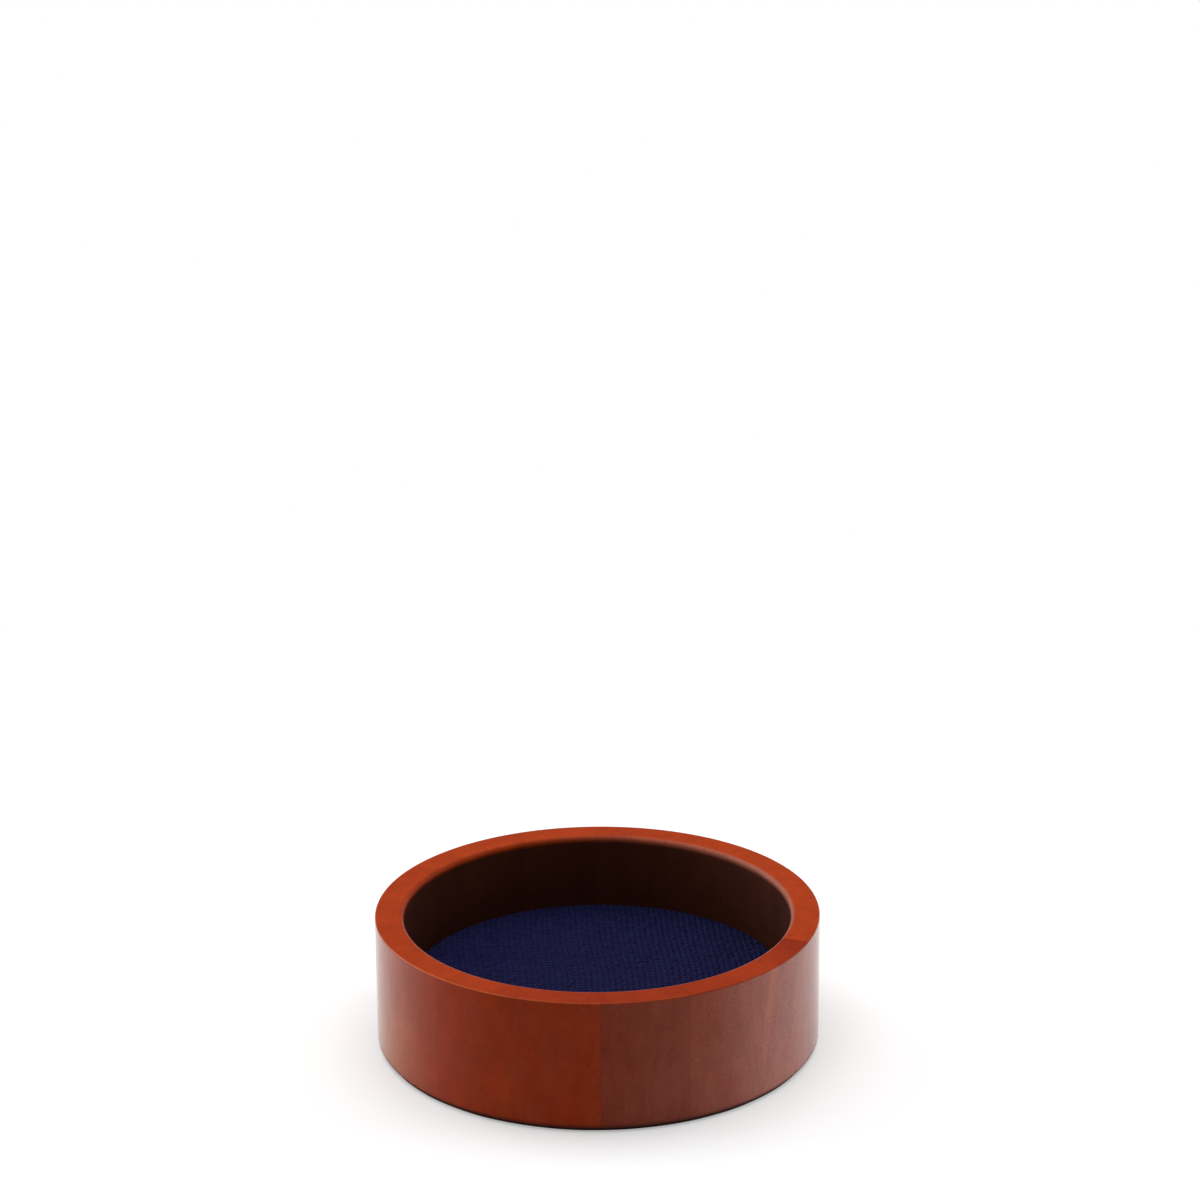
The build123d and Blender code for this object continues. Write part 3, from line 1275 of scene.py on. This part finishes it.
class COASTER_OT_glue_felt(bpy.types.Operator):
    """Glue the felt under the foot"""

    bl_idname = "coaster.glue_felt"
    bl_label = "Glue felt"

    def execute(self, context):
        felt = context.scene.coaster_felt
        reach, low, high = FELT_HIGH.x, FELT_LOW.z, FELT_HIGH.z
        soft = FELT_EDGE_SHARE * (high - low)
        flat = reach - soft
        spread = np.linspace(INNERMOST, 1.0, FELT_RINGS)
        under = level(flat * spread, low)
        lower_edge = arc((flat, low + soft), soft, -90, 0, FELT_EDGE_RINGS)[1:]
        upper_edge = arc((flat, high - soft), soft, 0, 90, FELT_EDGE_RINGS)
        above = level(flat * spread[::-FELT_TOP_STEP], high)[1:]
        profile = np.concatenate([under, lower_edge, upper_edge, above])
        grid = spun(profile, FELT_SEGMENTS)
        waves = ripple(even_angles(FELT_SEGMENTS), felt.edge_wobble, FELT_WAVES, FELT_SEED)
        near_edge = (profile[:, 0] / reach) ** FELT_EDGE_POWER
        grid[..., :2] *= (1 + near_edge[:, None] * (waves - felt.edge_wobble) / reach)[..., None]
        foot = piece("felt_foot", *closed(grid, low, high), "felt")
        dress(foot, pressed_felt(felt))
        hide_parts("felt_pad")
        return {"FINISHED"}


# Stage

PICTURE_WIDTH = 1200
SENSOR_WIDTH_MM = 36.0
CLIP_START, CLIP_END = 0.01, 20.0

# Softboxes: where they stand and how wide they are; all face the coaster
LEFT_PLACE = (-1.15, 0.50, 0.65)
RIGHT_PLACE = (1.15, 0.40, 0.65)
SIDE_WIDTH = 1.2
KEY_PLACE = (-0.05, 0.15, 1.35)
KEY_WIDTH = 1.3

# Surroundings: strength at the table's height, overhead and from below, and where overhead begins, as the
# upright part of a direction
DIM, BRIGHT, BELOW = 0.06, 0.42, 0.8
OVERHEAD = (0.30, 0.95)

# Table: its flat radius, the sweep up at its edge, the wall over that, how far it goes in under the felt and
# lies below it, the distances between which it turns all white, and the white that its near part is lifted to
TABLE_FLAT = 2.4
TABLE_SWEEP = 0.4
TABLE_WALL = 0.05
TABLE_OVERLAP = 0.6 * MM
TABLE_DROP = 0.05 * MM
TABLE_FAR = (0.12, 0.50)
TABLE_WHITE = 1.03
TABLE_RINGS = 20
SWEEP_RINGS = 16
TABLE_SEGMENTS = 96


def table_top(paleness):
    """White table: a pale diffuse top that a camera, a mirror or glass sees lifted to white, from above only.

    Near the coaster the lift only fills what the paleness leaves, so the shadow stays. Far away all is white.
    """
    material = bpy.data.materials.new("white_table")
    nodes = Nodes(material)
    rays = nodes.put("LightPath").outputs
    seen = nodes.plus(rays["Is Camera Ray"], rays["Is Glossy Ray"])
    seen = nodes.calc("ADD", seen, rays["Is Transmission Ray"], clamp=True)
    far = nodes.rise(nodes.length(nodes.put("TexCoord").outputs["Object"]), *TABLE_FAR)
    top = nodes.put("BsdfDiffuse", {"Color": share_of(WHITE, paleness)}).outputs[0]
    lift = nodes.put("Emission", {"Color": WHITE, "Strength": TABLE_WHITE - paleness}).outputs[0]
    near_look = nodes.put("AddShader", {0: top, 1: lift}).outputs[0]
    white = nodes.put("Emission", {"Color": WHITE, "Strength": 1.0}).outputs[0]
    look = nodes.put("MixShader", {0: far, 1: near_look, 2: white}).outputs[0]
    above = nodes.put("MixShader", {0: seen, 1: top, 2: look}).outputs[0]
    under = nodes.put("NewGeometry").outputs["Backfacing"]
    clear = nodes.put("BsdfTransparent").outputs[0]
    both = nodes.put("MixShader", {0: under, 1: above, 2: clear}).outputs[0]
    nodes.put("OutputMaterial", {"Surface": both})
    return material


def studio_light():
    """Soft studio surroundings: dim at the height of the table, brighter overhead, and white from below."""
    world = bpy.data.worlds.new("studio")
    nodes = Nodes(world)
    up = nodes.parts(nodes.put("TexCoord").outputs["Generated"])[2]
    strength = nodes.span(nodes.rise(up, *OVERHEAD), DIM, BRIGHT)
    strength = nodes.plus(strength, nodes.times(nodes.calc("LESS_THAN", up, 0.0), BELOW))
    back = nodes.put("Background", {"Color": WHITE, "Strength": strength}).outputs[0]
    nodes.put("OutputWorld", {"Surface": back})
    return world


def softbox(name, place, across, power, mirrored):
    """A square softbox that faces the coaster's foot. Where it isn't mirrored, gloss doesn't show it."""
    light = bpy.data.lights.new(name, "AREA")
    light.shape = "SQUARE"
    light.size = across
    light.energy = power
    made = bpy.data.objects.new(name, light)
    made.location = place
    made.rotation_euler = (-Vector(place)).to_track_quat("-Z", "Y").to_euler()
    made.visible_glossy = mirrored
    bpy.context.scene.collection.objects.link(made)


class COASTER_OT_set_stage(bpy.types.Operator):
    """Set the table, the light and the camera"""

    bl_idname = "coaster.set_stage"
    bl_label = "Set stage"

    def execute(self, context):
        scene, stage = context.scene, context.scene.coaster_stage
        scene.view_settings.view_transform = "Standard"
        scene.world = studio_light()
        self.lay_table(stage)
        softbox("left_softbox", LEFT_PLACE, SIDE_WIDTH, stage.left_power, True)
        softbox("right_softbox", RIGHT_PLACE, SIDE_WIDTH, stage.right_power, False)
        softbox("overhead_softbox", KEY_PLACE, KEY_WIDTH, stage.key_power, False)
        self.place_camera(scene, stage)
        return {"FINISHED"}

    def lay_table(self, stage):
        """A round table with a swept edge: a flat run, a quarter circle and a low wall, turned about Z.

        It is open under the felt, which covers the opening, so that light reaches the felt from below.
        """
        floor = level(np.linspace(FELT_HIGH.x - TABLE_OVERLAP, TABLE_FLAT, TABLE_RINGS), 0.0)
        curve = arc((TABLE_FLAT, TABLE_SWEEP), TABLE_SWEEP, -90, 0, SWEEP_RINGS)[1:]
        wall = np.array([[TABLE_FLAT + TABLE_SWEEP, TABLE_SWEEP + TABLE_WALL]])
        profile = np.concatenate([floor, curve, wall])
        grid = spun(profile, TABLE_SEGMENTS).reshape(-1, 3)
        grid[:, 2] -= TABLE_DROP
        mesh = bpy.data.meshes.new("table")
        mesh.from_pydata(grid, [], ring_faces(len(profile), TABLE_SEGMENTS)[:, ::-1].tolist())
        table = bpy.data.objects.new("table", mesh)
        bpy.context.scene.collection.objects.link(table)
        dress(table, table_top(stage.table))

    def place_camera(self, scene, stage):
        """The camera looks along +Y and down by the pitch, leans by the roll and is then turned about Z."""
        ahead = Vector((0.0, math.cos(stage.pitch), -math.sin(stage.pitch)))
        right = Vector((1.0, 0.0, 0.0))
        up = right.cross(ahead)
        lean = Matrix.Rotation(-stage.roll, 3, ahead)
        axes = Matrix((lean @ right, lean @ up, -ahead)).transposed().to_4x4()
        lens = bpy.data.cameras.new("camera")
        lens.sensor_width = SENSOR_WIDTH_MM
        lens.lens = stage.focal_pixels * SENSOR_WIDTH_MM / PICTURE_WIDTH
        lens.clip_start, lens.clip_end = CLIP_START, CLIP_END
        camera = bpy.data.objects.new("camera", lens)
        walk = Matrix.Rotation(stage.turn, 4, "Z")
        camera.matrix_world = walk @ Matrix.Translation(stage.eye) @ axes
        scene.collection.objects.link(camera)
        scene.camera = camera


class COASTER_PT_panel(bpy.types.Panel):
    """Lists the steps that dress the coaster"""

    bl_idname = "COASTER_PT_panel"
    bl_label = "Bottle coaster"
    bl_space_type = "VIEW_3D"
    bl_region_type = "UI"
    bl_category = "Coaster"

    def draw(self, context):
        for step in STEPS:
            self.layout.operator(step.bl_idname)


GROUPS = {
    "coaster_wood": CoasterWood,
    "coaster_needlepoint": CoasterNeedlepoint,
    "coaster_felt": CoasterFelt,
    "coaster_stage": CoasterStage,
}
STEPS = (
    COASTER_OT_finish_staves,
    COASTER_OT_finish_boards,
    COASTER_OT_lay_padding,
    COASTER_OT_stretch_canvas,
    COASTER_OT_glue_felt,
    COASTER_OT_set_stage,
)
CLASSES = (*GROUPS.values(), *STEPS, COASTER_PT_panel)


def register():
    for cls in CLASSES:
        bpy.utils.register_class(cls)
    for name, group in GROUPS.items():
        setattr(bpy.types.Scene, name, PointerProperty(type=group))


def unregister():
    for name in GROUPS:
        delattr(bpy.types.Scene, name)
    for cls in reversed(CLASSES):
        bpy.utils.unregister_class(cls)


def main():
    register()
    bpy.ops.coaster.finish_staves()
    bpy.ops.coaster.finish_boards()
    bpy.ops.coaster.lay_padding()
    bpy.ops.coaster.stretch_canvas()
    bpy.ops.coaster.glue_felt()
    bpy.ops.coaster.set_stage()


if __name__ == "__main__":
    main()
